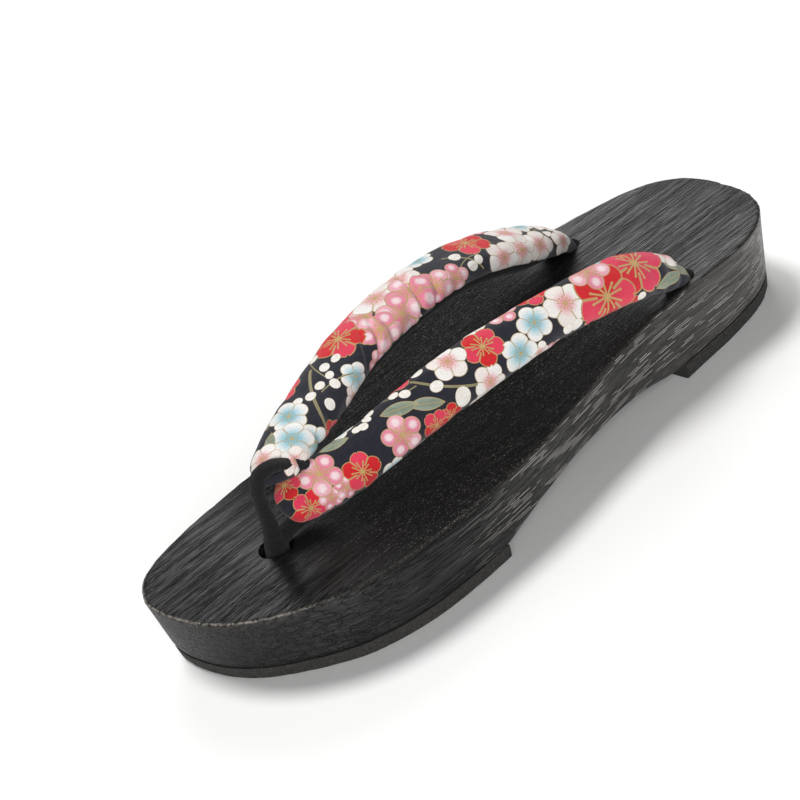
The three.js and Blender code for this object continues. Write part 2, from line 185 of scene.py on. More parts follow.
# Each row: distance along, height of the footbed, tuck of the wall at the ground.
SIDE = [
    (-120, 22.6, 4.6), (-103, 23.4, 4.4), (-86, 24.0, 2.4), (-66, 24.2, 0.6), (-40, 23.8, 0.4),
    (-18, 23.5, 0.4), (2, 24.2, 0.4), (22, 25.8, 0.4), (42, 27.5, 0.4), (58, 28.2, 0.6),
    (76, 28.3, 2.2), (92, 28.3, 3.6), (108, 28.4, 2.8), (120, 28.4, 1.2),
]
# Each row: distance along, height of the wood's underside.
UNDERSIDE = [
    (-120, 4.7), (-60, 4.7), (-36, 4.7), (-28, 6.5), (-17, 8.7), (-6, 10.0), (5, 10.5), (16, 10.3),
    (28, 9.5), (39, 8.1), (49, 6.2), (56.5, 5.5), (80, 5.5), (120, 5.5),
]
FRONT_PAD_END = -36.0
HEEL_BREAST = 56.5
FRONT_PAD_THICK = 4.4
HEEL_PAD_THICK = 5.2
EDGE_BREAK = 0.7
BALL_CHAMFER = 3.2
CHAMFER_FROM, CHAMFER_TO, CHAMFER_FADE = -104.0, -26.0, 22.0
HOLES = [(5.1, -84.4, 5.2), (22.5, 68.0, 5.0), (-26.4, 68.7, 5.0)]
HOLE_DEPTH = 11.0
HALF_ROWS = 190


def table(rows, at):
    r = np.asarray(rows, float)
    return through(r[:, 0], r[:, 1:], at)


def plan_outline():
    """Points round the footbed, with their inward normals, from the toe by the outer side."""
    round_trip = [TOE_TIP, *[(o, y) for y, _, o in PLAN], HEEL_TIP, *[(i, y) for y, i, _ in PLAN[::-1]]]
    loop = np.array(round_trip * 3)
    knots = run_length(np.sqrt(np.abs(np.diff(loop, axis=0, prepend=loop[:1]))).cumsum(axis=0))
    first, last = len(round_trip), 2 * len(round_trip)
    fine = through(knots, loop, np.linspace(knots[first], knots[last], 9000))
    heel = int(np.argmax(fine[:, 1]))
    toe = int(np.argmin(fine[:heel, 1]))
    outer, inner = fine[toe:heel + 1], fine[heel:][::-1]
    y = -120.0 * np.cos(np.pi * np.arange(HALF_ROWS + 1) / HALF_ROWS)
    x_out = np.interp(y, np.maximum.accumulate(outer[:, 1]), outer[:, 0])
    x_in = np.interp(y, np.maximum.accumulate(inner[:, 1]), inner[:, 0])
    ring = np.concatenate([np.stack([x_out, y], 1), np.stack([x_in, y], 1)[1:-1][::-1]])
    step = np.roll(ring, -1, axis=0) - np.roll(ring, 1, axis=0)
    step /= np.linalg.norm(step, axis=1)[:, None]
    return ring, np.stack([-step[:, 1], step[:, 0]], 1)


outline, inward = plan_outline()
print("outline points:", len(outline), "width", round(np.ptp(outline[:, 0]), 1), "mm")

# %% [markdown]
# ## Stacking the rings
# A ring is the outline, moved inward by some distance and set at some height. The wall leans in
# towards the ground, and the edges are rounded by a few close rings. The edges of stained wood
# never stay straight: they are dented a little at random, and the heel has one real nick.

# %% Platform mesh
NICK = (-2.7, 119.0)
ACROSS = 46
PEG_SIDES = 40
PEG_ABOVE = 30.0


def edge_break(y):
    outer_side = eased((-inward[:, 0] - 0.55) / 0.35)
    ball = eased((y - CHAMFER_FROM) / CHAMFER_FADE) * eased((CHAMFER_TO - y) / CHAMFER_FADE)
    return EDGE_BREAK + (BALL_CHAMFER - EDGE_BREAK) * outer_side * ball


def ring_at(inset, height):
    flat = outline + inward * np.broadcast_to(inset, len(outline))[:, None]
    return np.column_stack([flat, np.broadcast_to(height, len(outline))])


def platform_rings():
    y = outline[:, 1]
    top, tuck = table(SIDE, y).T
    low = table(UNDERSIDE, y)[:, 0]
    broken = edge_break(y)
    wear = ripple(outline, 3, (9.0, 14.0))
    dent = 0.16 * wear + 0.10 * ripple(outline, 4, (2.2, 3.4))
    nick = np.exp(-(np.linalg.norm(outline - np.array(NICK), axis=1) / 1.5) ** 2)
    shoulder = top - 0.9 * broken
    lean = lambda z: tuck * (1 - z / shoulder)
    foot = ((0.6, 0.0), (0.18, 0.18), (0.0, 0.7))
    rings = [ring_at(lean(low) + inset, low + rise) for inset, rise in foot]
    for t in np.linspace(0.08, 0.9, 9):
        z = low + 0.7 + (shoulder - low - 0.7) * t
        rings.append(ring_at(lean(z), z))
    for t in np.linspace(0, 1, 7):
        inset = broken * (0.45 * t + 0.55 * (1 - math.cos(math.pi * t / 2)))
        rise = 0.9 * broken * (0.45 * t + 0.55 * math.sin(math.pi * t / 2))
        soft = math.sin(math.pi * (0.25 + 0.75 * t))
        inset = inset + dent * soft + 0.8 * nick
        rings.append(ring_at(inset, shoulder + rise - 0.05 * wear * soft - 0.5 * nick))
    return rings


def filled_rows(ring, first):
    """Rows of points across a ring between partners, with the numbers of their points."""
    count = len(ring)
    points, rows = [], [[0]]
    share = np.linspace(0, 1, ACROSS + 1)[1:-1]
    for k in range(1, HALF_ROWS):
        a, b = ring[k], ring[count - k]
        start = first + len(points)
        points.extend(a + (b - a) * t for t in share)
        rows.append([k, *range(start, start + len(share)), count - k])
    rows.append([HALF_ROWS])
    return points, rows


def row_faces(rows):
    faces = []
    for a, b in zip(rows, rows[1:]):
        if len(a) == 1:
            faces += [(a[0], b[j], b[j + 1]) for j in range(len(b) - 1)]
        elif len(b) == 1:
            faces += [(a[j], b[0], a[j + 1]) for j in range(len(a) - 1)]
        else:
            faces += [(a[j], b[j], b[j + 1], a[j + 1]) for j in range(len(a) - 1)]
    return faces


def stack(rings, top_height=None, bottom_height=None):
    """A closed solid through the rings, with both ends filled by rows."""
    count = len(rings[0])
    points = [p for ring in rings for p in ring]
    faces = []
    for r in range(len(rings) - 1):
        for i in range(count):
            j = (i + 1) % count
            faces.append((r * count + i, r * count + j, (r + 1) * count + j, (r + 1) * count + i))
    for ring, base, height, flip in (
        (rings[-1], (len(rings) - 1) * count, top_height, False),
        (rings[0], 0, bottom_height, True),
    ):
        inside, rows = filled_rows(ring, len(points) - base)
        inside = np.array(inside)
        if height is not None:
            inside[:, 2] = height(inside)
        points.extend(inside)
        for face in row_faces(rows):
            face = tuple(base + v for v in face)
            faces.append(face[::-1] if flip else face)
    return np.array(points), faces


def footbed_height(p):
    return table(SIDE, p[:, 1])[:, 0] + 0.10 * ripple(p[:, :2], 8, (11.0, 70.0))


def underside_height(p):
    return table(UNDERSIDE, p[:, 1])[:, 0]


def peg(x, y, radius, top):
    n = PEG_SIDES
    turn = np.linspace(0, 2 * np.pi, n, endpoint=False)
    circle = np.stack([x + radius * np.cos(turn), y + radius * np.sin(turn)], 1)
    low = np.column_stack([circle, np.full(n, top - HOLE_DEPTH)])
    high = np.column_stack([circle, np.full(n, top + PEG_ABOVE)])
    sides = [(i, (i + 1) % n, n + (i + 1) % n, n + i) for i in range(n)]
    return np.concatenate([low, high]), [*sides, tuple(range(n - 1, -1, -1)), tuple(range(n, 2 * n))]


def bored(piece):
    """The piece with the three strap holes cut into it."""
    for number, (x, y, radius) in enumerate(HOLES):
        top = float(table(SIDE, [y])[0, 0])
        cutter = make_piece(f"cutter_{number}", *peg(x, y, radius, top), smooth=False)
        cut = piece.modifiers.new("hole", "BOOLEAN")
        cut.operation, cut.solver, cut.object = "DIFFERENCE", "EXACT", cutter
    shaped = piece.evaluated_get(bpy.context.evaluated_depsgraph_get())
    mesh = bpy.data.meshes.new_from_object(shaped)
    for cut in list(piece.modifiers):
        cutter = cut.object
        piece.modifiers.remove(cut)
        bpy.data.objects.remove(cutter)
    old, piece.data = piece.data, mesh
    bpy.data.meshes.remove(old)
    return piece


rings = platform_rings()
platform = make_piece("wood_platform", *stack(rings, footbed_height, underside_height))
platform = bored(platform)
platform.data.polygons.foreach_set("use_smooth", [True] * len(platform.data.polygons))
platform.data.set_sharp_from_angle(angle=math.radians(50))
print("platform faces:", len(platform.data.polygons))

# %% [markdown]
# ## A short way to write shaders
# Shader maths reads best as plain expressions. A small class wraps a socket and turns + - * /
# and comparisons into Math nodes, so that 1 - mask works as it looks. All other nodes come from
# one method that takes the node's type, its settings, and the values or links of its sockets.

# %% Shader helpers
class Wire:
    """One output socket, with arithmetic."""

    def __init__(self, finish, socket):
        self.finish, self.socket = finish, socket

    def math(self, operation, *others):
        values = [self, *others]
        return self.finish.add("ShaderNodeMath", {"operation": operation}, dict(enumerate(values)))

    def turned(self, operation, other):
        return self.finish.add("ShaderNodeMath", {"operation": operation}, {0: other, 1: self})

    def __add__(self, other): return self.math("ADD", other)
    def __radd__(self, other): return self.math("ADD", other)
    def __sub__(self, other): return self.math("SUBTRACT", other)
    def __rsub__(self, other): return self.turned("SUBTRACT", other)
    def __mul__(self, other): return self.math("MULTIPLY", other)
    def __rmul__(self, other): return self.math("MULTIPLY", other)
    def __truediv__(self, other): return self.math("DIVIDE", other)
    def __rtruediv__(self, other): return self.turned("DIVIDE", other)
    def __gt__(self, other): return self.math("GREATER_THAN", other)
    def __lt__(self, other): return self.math("LESS_THAN", other)
    def __abs__(self): return self.math("ABSOLUTE")
    def floor(self): return self.math("FLOOR")
    def fract(self): return self.math("FRACT")
    def root(self): return self.math("SQRT")
    def sin(self): return self.math("SINE")
    def cos(self): return self.math("COSINE")
    def least(self, other): return self.math("MINIMUM", other)
    def most(self, other): return self.math("MAXIMUM", other)
    def near(self, other, slack=0.5): return self.math("COMPARE", other, slack)

    def ramp(self, low, high):
        """0 below low, 1 above high, eased between; low may be above high."""
        sockets = {"Value": self, "From Min": low, "From Max": high}
        return self.finish.add("ShaderNodeMapRange", {"interpolation_type": "SMOOTHSTEP"}, sockets)


class Finish:
    """A material whose nodes are added by one method."""

    def __init__(self, name):
        self.material = bpy.data.materials.new(name)
        self.material.use_nodes = True
        self.tree = self.material.node_tree
        self.tree.nodes.clear()
        self.shader = self.tree.nodes.new("ShaderNodeBsdfPrincipled")
        output = self.tree.nodes.new("ShaderNodeOutputMaterial")
        self.tree.links.new(self.shader.outputs[0], output.inputs["Surface"])

    def add(self, kind, settings=None, sockets=None, out=0):
        node = self.tree.nodes.new(kind)
        for key, value in (settings or {}).items():
            if key == "stops":
                self.set_stops(node.color_ramp, value)
            else:
                setattr(node, key, value)
        for key, value in (sockets or {}).items():
            self.join(node.inputs[key], value)
        return Wire(self, node.outputs[out])

    def set_stops(self, ramp, stops):
        ramp.interpolation = "CONSTANT"
        while len(ramp.elements) < len(stops):
            ramp.elements.new(1.0)
        for element, (place, colour) in zip(ramp.elements, stops):
            element.position, element.color = place, colour

    def join(self, socket, value):
        if isinstance(value, Wire):
            self.tree.links.new(value.socket, socket)
        else:
            socket.default_value = value

    def split(self, vector):
        node = self.add("ShaderNodeSeparateXYZ", {}, {0: vector}).socket.node
        return [Wire(self, s) for s in node.outputs]

    def vector(self, x, y, z):
        return self.add("ShaderNodeCombineXYZ", {}, {0: x, 1: y, 2: z})

    def scaled(self, vector, scale):
        return self.add("ShaderNodeVectorMath", {"operation": "MULTIPLY"}, {0: vector, 1: scale})

    def blend(self, below, above, share):
        return self.add("ShaderNodeMix", {"data_type": "RGBA"}, {0: share, 6: below, 7: above}, out=2)

    def noise(self, vector, detail=2.0, roughness=0.5, scale=1.0):
        sockets = {"Vector": vector, "Scale": scale, "Detail": detail, "Roughness": roughness}
        return self.add("ShaderNodeTexNoise", {}, sockets)

    def attribute(self, name, out):
        return self.add("ShaderNodeAttribute", {"attribute_name": name}, {}, out=out)

    def place(self):
        return self.add("ShaderNodeTexCoord", {}, {}, out="Object")

    def bump(self, height, strength, distance):
        return self.add("ShaderNodeBump", {}, {"Height": height, "Strength": strength, "Distance": distance})

    def set(self, **sockets):
        for name, value in sockets.items():
            self.join(self.shader.inputs[name.replace("_", " ")], value)
        return self.material


def ink(code):
    """A screen colour such as 'c0ffee' as linear light."""
    channels = [int(code[i:i + 2], 16) / 255 for i in (0, 2, 4)]
    return tuple(c / 12.92 if c <= 0.04045 else ((c + 0.055) / 1.055) ** 2.4 for c in channels) + (1.0,)


def dress(piece, material, node):
    """Gives a piece its material and puts it in the place of a solid."""
    piece.data.materials.clear()
    piece.data.materials.append(material)
    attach(piece, "root")
    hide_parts(node)


print("shader helpers ready")

# %% [markdown]
# ## Black-stained wood
# The wood is light paulownia or cedar under a black stain that was brushed out, so the grain
# still shows as relief: fine lines along the sandal, broader soft bands, and pale dashes along the
# open pores, mostly on the sawn side walls; the dashes are partly pores the stain missed and partly
# painted glints off the pore edges. The noise is solid: it is stretched along the grain in all three
# axes, so the ends of the block show end grain by themselves. The broken edge is worn paler, by a
# mark that is kept on the mesh; along the toe the same mark paints a pale highlight line.

# %% Mark the worn edge and its painted highlight
WEAR_AND_GLINT_REACH = 0.34
BLOCK = 2000


def mark_wear_and_glint(piece):
    points = np.empty(len(piece.data.vertices) * 3)
    piece.data.vertices.foreach_get("co", points)
    points = points.reshape(-1, 3) / MM
    edge = rings[-4]
    worn = np.zeros(len(points))
    for start in range(0, len(points), BLOCK):
        block = points[start:start + BLOCK]
        gap = np.linalg.norm(block[:, None] - edge[None], axis=2).min(axis=1)
        worn[start:start + BLOCK] = np.exp(-((gap / WEAR_AND_GLINT_REACH) ** 2))
    piece.data.attributes.new("worn", "FLOAT", "POINT").data.foreach_set("value", worn)
    return worn


print("worn points:", int((mark_wear_and_glint(platform) > 0.5).sum()))

# %% Wood finish
PORE_ROWS = 1500


def stained_wood():
    f = Finish("stained_wood_brushed")
    place = f.place()
    x, y, z = f.split(place)
    facing = f.split(f.add("ShaderNodeNewGeometry", {}, {}, out="Normal"))
    side = facing[2].ramp(0.75, 0.35)
    ends = abs(facing[1]).ramp(0.5, 0.85)
    sway = (f.noise(f.scaled(place, (26, 8, 26)), 1.0) - 0.5) * 0.008
    grain = f.vector(x + sway, y, z + sway * 0.7)
    bands = f.noise(f.scaled(grain, (240, 5, 240)), 2.0, 0.5)
    rings = f.noise(f.scaled(grain, (430, 7, 430)), 3.0, 0.55)
    groove = abs(rings - 0.5).ramp(0.05, 0.004)
    fine = f.noise(f.scaled(grain, (1500, 30, 1500)), 2.0, 0.6)
    hair = f.noise(f.scaled(grain, (3600, 75, 3600)), 1.0, 0.5)
    row = f.blend(f.vector(x, 0.0, 0.0), f.vector(z, 0.0, 0.0), side > 0.5)
    row = f.split(row)[0] * PORE_ROWS + f.noise(f.scaled(place, (90, 14, 90)), 1.0) * 3.0
    open_pore = f.noise(f.vector(row.floor() * 7.31, y * 95, side * 3.0), 0.0, 0.4).ramp(0.52, 0.545)
    pores = open_pore * abs(row.fract() - 0.5).ramp(0.12, 0.07)
    clusters = f.noise(f.scaled(grain, (330, 20, 330)), 1.0)
    specks = f.noise(f.scaled(place, (2500, 2000, 2500)), 1.0)
    toe = y.ramp(-0.060, -0.012)
    pore_dash_and_glint = pores * clusters.ramp(0.36, 0.56) * (1 - ends) * (toe * 0.9 + 0.1)
    colour = f.blend(ink("090909"), ink("161515"), fine.ramp(0.32, 0.70))
    colour = f.blend(colour, ink("201f1e"), bands.ramp(0.50, 0.76) * 0.6)
    colour = f.blend(colour, ink("050505"), groove * 0.7)
    # painted light: the side walls are painted paler, a little towards the toe and more towards the heel,
    # standing in for the bright floor they reflect
    heel = y.ramp(0.025, 0.085)
    colour = f.blend(colour, ink("4c4a47"), side * (toe * 0.28 + heel * 0.62))
    # painted glint: the near-white dashes along the pores are partly unstained pores and partly painted
    # glints off their edges, strongest on the side walls
    colour = f.blend(colour, ink("e0dcd5"), pore_dash_and_glint * (side * 0.85 + 0.12))
    # painted shade: the middle of the footbed, under and beside the straps, is painted near black for the
    # straps' shadow; the same zone is also made rougher
    middle = abs(y + 0.010).ramp(0.085, 0.045) * (1 - side)
    colour = f.blend(colour, ink("040404"), middle * 0.6)
    # painted glints: pale specks in the shaded middle stand in for light catching the glossy stain over the
    # pores
    painted_glints = specks.ramp(0.64, 0.70) * middle
    colour = f.blend(colour, ink("8a8885"), painted_glints * 0.5)
    worn = f.attribute("worn", "Fac") * f.noise(f.scaled(place, (1000, 1000, 1000)), 2.0).ramp(0.30, 0.62)
    # the mark pales the broken edge all round as real wear; along the toe it also paints a pale highlight
    # line where the rounded edge would catch the light
    colour = f.blend(colour, ink("6b645d"), worn * 0.25)
    colour = f.blend(colour, ink("aaa49c"), worn * y.ramp(-0.088, -0.108) * 0.62)
    relief = fine * 0.6 + hair * 0.35 - groove * 0.8 - pore_dash_and_glint * 0.2 + specks * middle * 0.25
    normal = f.bump(relief, 0.9, 0.0006)
    rough = 0.30 + middle * 0.52 + fine.ramp(0.35, 0.7) * 0.12 + ends * side * 0.12
    return f.set(Base_Color=colour, Roughness=rough, Normal=normal, Specular_IOR_Level=0.35)


dress(platform, stained_wood(), "platform")
print("wood:", platform.data.materials[0].name)

# %% [markdown]
# ## Rubber pads
# Two slabs of crumb rubber are glued under the forefoot and the heel and trimmed flush. Each is
# the outline again, cut straight across where the arch begins. A cut outline isn't paired any
# more at its straight end, so the slab is closed by rows between partners up to that line.

# %% Pads
PAD_COLUMNS = 24


def pad_rings(low_row, high_row, thick):
    """Rings of the outline between two rows, closed straight across."""
    count = len(outline)
    outer = list(range(low_row, high_row + 1))
    rings = []
    for inset, height in ((1.0, 0.0), (0.3, 0.3), (0.05, 1.0), (0.0, thick * 0.6), (0.0, thick)):
        y = outline[:, 1]
        top, tuck = table(SIDE, y).T
        lean = tuck * (1 - height / (top - 0.9 * edge_break(y)))
        wobble = 0.06 * ripple(outline, 11, (5.0, 5.0))
        loop = ring_at(lean + inset + wobble, height)
        rings.append([[loop[k], loop[(count - k) % count]] for k in outer])
    return np.array(rings)


def pad_solid(low_row, high_row, thick):
    rings = pad_rings(low_row, high_row, thick)
    levels, rows = rings.shape[:2]
    share = np.linspace(0, 1, PAD_COLUMNS + 1)[:, None]
    points, number = [], {}

    def keep(p):
        key = tuple(np.round(p, 5))
        if key not in number:
            number[key] = len(points)
            points.append(p)
        return number[key]

    def sheet(level):
        return [[keep(p) for p in a + (b - a) * share] for a, b in rings[level]]

    top, bottom = sheet(levels - 1), sheet(0)
    walls = [[[keep(p) for p in pair] for pair in level] for level in rings]
    faces = []
    for i in range(rows - 1):
        for j in range(PAD_COLUMNS):
            faces.append((top[i][j], top[i + 1][j], top[i + 1][j + 1], top[i][j + 1]))
            faces.append((bottom[i][j], bottom[i][j + 1], bottom[i + 1][j + 1], bottom[i + 1][j]))
        for a, b in zip(walls, walls[1:]):
            faces.append((a[i][0], a[i + 1][0], b[i + 1][0], b[i][0]))
            faces.append((a[i + 1][1], a[i][1], b[i][1], b[i + 1][1]))
    for row, flip in ((0, True), (rows - 1, False)):
        up_wall = [w[row][1] for w in walls[1:-1]]
        down_wall = [w[row][0] for w in walls[-2:0:-1]]
        loop = list(dict.fromkeys(bottom[row] + up_wall + top[row][::-1] + down_wall))
        if len(loop) > 4:
            faces.append(tuple(loop[::-1] if not flip else loop))
    clean = [tuple(dict.fromkeys(f)) for f in faces]
    return points, [f for f in clean if len(f) > 2]


def crumb_rubber():
    f = Finish("crumb_rubber")
    place = f.place()
    crumb = f.noise(f.scaled(place, (1500, 1500, 1500)), 2.0, 0.6)
    pit = f.noise(f.scaled(place, (520, 520, 520)), 2.0)
    colour = f.blend(ink("232221"), ink("393735"), crumb.ramp(0.38, 0.68))
    colour = f.blend(colour, ink("5c5853"), crumb.ramp(0.68, 0.76) * 0.5)
    normal = f.bump(crumb * 0.6 + pit * 0.6, 0.6, 0.0005)
    return f.set(Base_Color=colour, Roughness=0.85 + pit * 0.1, Normal=normal)


row_y = outline[:HALF_ROWS + 1, 1]
front_rows = (0, int(np.searchsorted(row_y, FRONT_PAD_END)))
heel_rows = (int(np.searchsorted(row_y, HEEL_BREAST)), HALF_ROWS)
rubber = crumb_rubber()
for name, node, rows, thick in (
    ("front_pad", "sole_front", front_rows, FRONT_PAD_THICK),
    ("heel_pad", "sole_heel", heel_rows, HEEL_PAD_THICK),
):
    pad = make_piece(name, *pad_solid(*rows, thick))
    pad.data.set_sharp_from_angle(angle=math.radians(50))
    dress(pad, rubber, node)
    print(name, len(pad.data.polygons), "faces")

# %% [markdown]
# ## The run of the straps
# Each arm of the V is a padded band. It starts narrow at the crossing, fills out over the foot,
# and narrows again where it turns down into its hole. Each row gives the centre of the band, its
# width and thickness, and its lean: 0 lies flat, 90 stands on edge. From the rows come the
# directions across the band and out of its face, at even steps along it.

# %% Strap rows
# Each row: centre x, y, z, width, thickness, lean in degrees.
OUTER_ARM = [
    (6.4, -80.5, 36.2, 11.5, 6.8, 40), (7.9, -74, 35.5, 15.2, 8.4, 38), (10.1, -63, 35.7, 16.2, 9, 38),
    (12.5, -48, 37.6, 15.8, 9.4, 42), (14.3, -31, 40.2, 16, 9.6, 45), (16.1, -15, 41.9, 16.6, 9.6, 48),
    (18.0, 0.5, 42.7, 15.8, 9.6, 50), (19.6, 16, 42.8, 14.8, 9.6, 52), (21.0, 31, 41.8, 15, 9.6, 52),
    (22.0, 46, 39.6, 15, 9.6, 52), (22.7, 57, 35.8, 13.4, 9.2, 50), (22.8, 64, 31.4, 10.6, 8.6, 47),
    (22.5, 67.4, 26.4, 9, 8.4, 45), (22.5, 68.2, 19.5, 8, 8, 45),
]
INNER_ARM = [
    (2.9, -79.5, 41.4, 11, 6.5, 5), (0.3, -73, 43, 15, 8.5, -5), (-4.1, -62, 44.8, 16.4, 9.2, -12),
    (-9.1, -46, 47.1, 17.6, 9.8, -12), (-13.6, -30, 50, 17.6, 10, -10), (-16.9, -13, 51.4, 18.2, 10, -8),
    (-19.4, 3, 51.3, 18.4, 10, -6), (-21.4, 19, 49.6, 18.2, 10, -6), (-22.5, 35, 45.6, 17.8, 10, -8),
    (-24.0, 49.5, 39.8, 16.6, 9.8, -12), (-25.2, 59.6, 35, 14, 9.4, -8), (-26.0, 65, 30.8, 10.6, 8.6, 10),
    (-26.4, 68.2, 25.6, 8.8, 8.4, 30), (-26.4, 69, 19.5, 8, 8, 45),
]
ROUNDNESS = 2 / 2.3
LINING_SHARE = 0.28
LINING_GAP = 0.3


class Band:
    """Even stations along a strap: centre, direction, across, face, width and thickness."""

    def __init__(self, rows, side, count):
        self.along, r = even_run(rows, count)
        self.centre = r[:, :3]
        way = np.gradient(self.centre, axis=0)
        self.way = way / np.linalg.norm(way, axis=1)[:, None]
        sideways = np.array([side, 0.0, 0.0])
        out = sideways - (self.way @ sideways)[:, None] * self.way
        out /= np.linalg.norm(out, axis=1)[:, None]
        up = np.cross(out, self.way) * side
        lean = np.radians(r[:, 5] if r.shape[1] > 5 else np.zeros(len(r)))[:, None]
        self.across = np.cos(lean) * out - np.sin(lean) * up
        self.face = np.sin(lean) * out + np.cos(lean) * up
        self.wide, self.thick = r[:, 3], r[:, 4]

    def place(self, x, y):
        """Points from section offsets x across and y out of the face, one row a station."""
        return self.centre[:, None] + self.across[:, None] * x[..., None] + self.face[:, None] * y[..., None]


def oval(angle):
    c, s = np.cos(angle), np.sin(angle)
    return np.sign(c) * np.abs(c) ** ROUNDNESS, np.sign(s) * np.abs(s) ** ROUNDNESS


def tube_faces(stations, columns, first=0):
    faces = []
    for i in range(stations - 1):
        for j in range(columns):
            k = (j + 1) % columns
            faces.append((first + i * columns + j, first + i * columns + k,
                          first + (i + 1) * columns + k, first + (i + 1) * columns + j))
    return faces


outer_band = Band(OUTER_ARM, 1, 330)
inner_band = Band(INNER_ARM, -1, 336)
print("strap lengths:", round(outer_band.along[-1], 1), round(inner_band.along[-1], 1), "mm")

# %% [markdown]
# ## The thong
# A strip of black felt is looped over the crossing and both ends go down into the front hole.
# It comes before the strap's cover, because the cover is squeezed under it. The loop is two
# short bands that meet on top of the crossing, roughened by fine ripples as felt is.

# %% Thong
# Each row: centre x, y, z, width, thickness.
THONG_FRONT = [
    (5.3, -66, 38, 4.8, 3.4), (4.9, -68.6, 41.6, 5, 3.4), (4.5, -72.6, 44.4, 5.4, 3.4),
    (4.3, -77.6, 46.4, 5.6, 3.4), (4.2, -81.4, 45.9, 5.2, 3.6), (4.3, -83.7, 42.6, 4.8, 3.8),
    (4.4, -84, 38.2, 4.4, 3.8), (4.6, -83.8, 33.2, 4.6, 4), (4.9, -83.9, 28.6, 5.4, 4.8),
    (5.1, -84.2, 24.5, 6.8, 6.4), (5.1, -84.4, 14, 8, 8),
]
THONG_BACK = [
    (4.8, -70, 42.6, 4.6, 3.4), (5.1, -66.9, 39.6, 5, 3.6), (5.5, -65, 34.8, 5, 3.6),
    (5.7, -66.6, 29.8, 5, 3.6), (5.7, -71.5, 27.6, 5, 3.8), (5.5, -77.5, 27.2, 5, 4.2),
    (5.2, -82.3, 25.8, 5.6, 4.8),
]


THONG_COLUMNS = 40


def capped(stations, columns, points, first=0):
    """Faces of a tube with both ends closed by a fan to a middle point, and the two middle points."""
    faces = tube_faces(stations, columns, first)
    head, tail = first + stations * columns, first + stations * columns + 1
    last = first + (stations - 1) * columns
    for j in range(columns):
        k = (j + 1) % columns
        faces.append((head, first + k, first + j))
        faces.append((tail, last + j, last + k))
    return faces, [points[0].mean(axis=0), points[-1].mean(axis=0)]


def felt_strand(rows, count, columns, seed):
    band = Band(rows, 1, count)
    angle = np.linspace(0, 2 * np.pi, columns, endpoint=False)
    x, y = oval(angle)
    rounded = np.sqrt(np.clip(1 - (1 - np.clip(band.along / 2.5, 0, 1)) ** 2, 0.02, 1))[:, None]
    points = band.place(x * band.wide[:, None] / 2 * rounded, y * band.thick[:, None] / 2 * rounded)
    flat = points.reshape(-1, 3)
    out = flat - np.repeat(band.centre, columns, axis=0)
    out /= np.linalg.norm(out, axis=1)[:, None] + 1e-9
    fuzz = 0.10 * ripple(flat, seed, (1.6, 1.6, 1.6)) + 0.12 * ripple(flat, seed + 1, (5, 5, 5))
    return (flat + out * fuzz[:, None]).reshape(points.shape), band


def felt_thong():
    points, faces, paths = [], [], []
    for rows, count, seed in ((THONG_FRONT, 130, 21), (THONG_BACK, 110, 31)):
        strand, band = felt_strand(rows, count, THONG_COLUMNS, seed)
        first = len(points)
        more, ends = capped(count, THONG_COLUMNS, strand, first)
        points.extend([*strand.reshape(-1, 3), *ends])
        faces.extend(more)
        paths.append(band)
    return make_piece("felt_thong", points, faces), paths


thong, thong_paths = felt_thong()
print("thong faces:", len(thong.data.polygons))

# %% Felt finish
def black_felt():
    f = Finish("black_felt")
    place = f.place()
    fibre = f.noise(f.scaled(place, (2600, 2600, 1100)), 3.0, 0.7)
    patch = f.noise(f.scaled(place, (420, 420, 420)), 2.0)
    colour = f.blend(ink("060606"), ink("141415"), fibre.ramp(0.40, 0.72))
    colour = f.blend(colour, ink("1e1e1f"), patch.ramp(0.55, 0.75) * 0.35)
    normal = f.bump(fibre, 0.7, 0.0006)
    return f.set(Base_Color=colour, Roughness=0.95, Normal=normal, Sheen_Weight=0.06, Sheen_Roughness=0.5)


dress(thong, black_felt(), "thong")
print("felt:", thong.data.materials[0].name)

# %% [markdown]
# ## The padded cover
# The cover is cotton sewn round a soft filling. Its section is a flattened oval, cut flat below,
# where the lining closes it. The outer arm is smooth. On the inner arm the cloth was eased into
# a tighter curve, and it bunches in short pleats across the side that faces the opening; these
# are placed one by one. Each pleat is a groove across the band with a soft ridge before it.

# %% Pleats and dents
# Each row: distance along, middle across, half length across, half width along, depth, slant.
INNER_PLEATS = [
    (9.0, -7.0, 4.5, 1.4, 0.6, 0.3), (19.5, -9.5, 4.0, 1.3, 0.5, 0.2), (27.0, -10.0, 4.0, 1.6, 0.4, 0.1),
    (56.8, -2.9, 6.5, 1.0, 0.7, 1.0), (59.8, -6.4, 6.0, 1.0, 1.2, 0.75), (64.6, -9.2, 4.2, 1.1, 0.8, 0.2),
    (73.0, -10.4, 3.6, 1.6, 0.4, 0.1), (81.8, -4.0, 9.0, 1.2, 1.9, 0.45), (87.0, -9.8, 4.8, 1.2, 1.1, 0.34),
    (95.0, -11.0, 3.6, 1.6, 0.4, 0.1), (131.0, -6.0, 6.0, 2.2, 0.3, 0.1), (143.0, -4.0, 7.0, 1.6, 0.4, 0.0),
    (30.0, 6.0, 5.0, 2.6, 0.3, -0.2), (84.0, 7.0, 6.0, 2.4, 0.35, 0.1),
]
OUTER_PLEATS = [
    (7.5, 5.5, 5.0, 1.5, 0.5, -0.2), (12.5, -7.0, 4.0, 1.6, 0.4, 0.2), (20.0, 9.0, 4.0, 2.0, 0.3, 0.1),
    (58.0, 10.0, 4.0, 2.4, 0.25, 0.1), (98.0, 10.0, 4.0, 2.2, 0.3, 0.1), (112.0, 10.0, 4.0, 2.0, 0.3, 0.1),
    (138.0, 6.0, 6.0, 2.0, 0.35, 0.1), (144.0, 3.0, 7.0, 1.5, 0.45, 0.0), (149.0, 0.0, 9.0, 1.3, 0.5, 0.0),
]


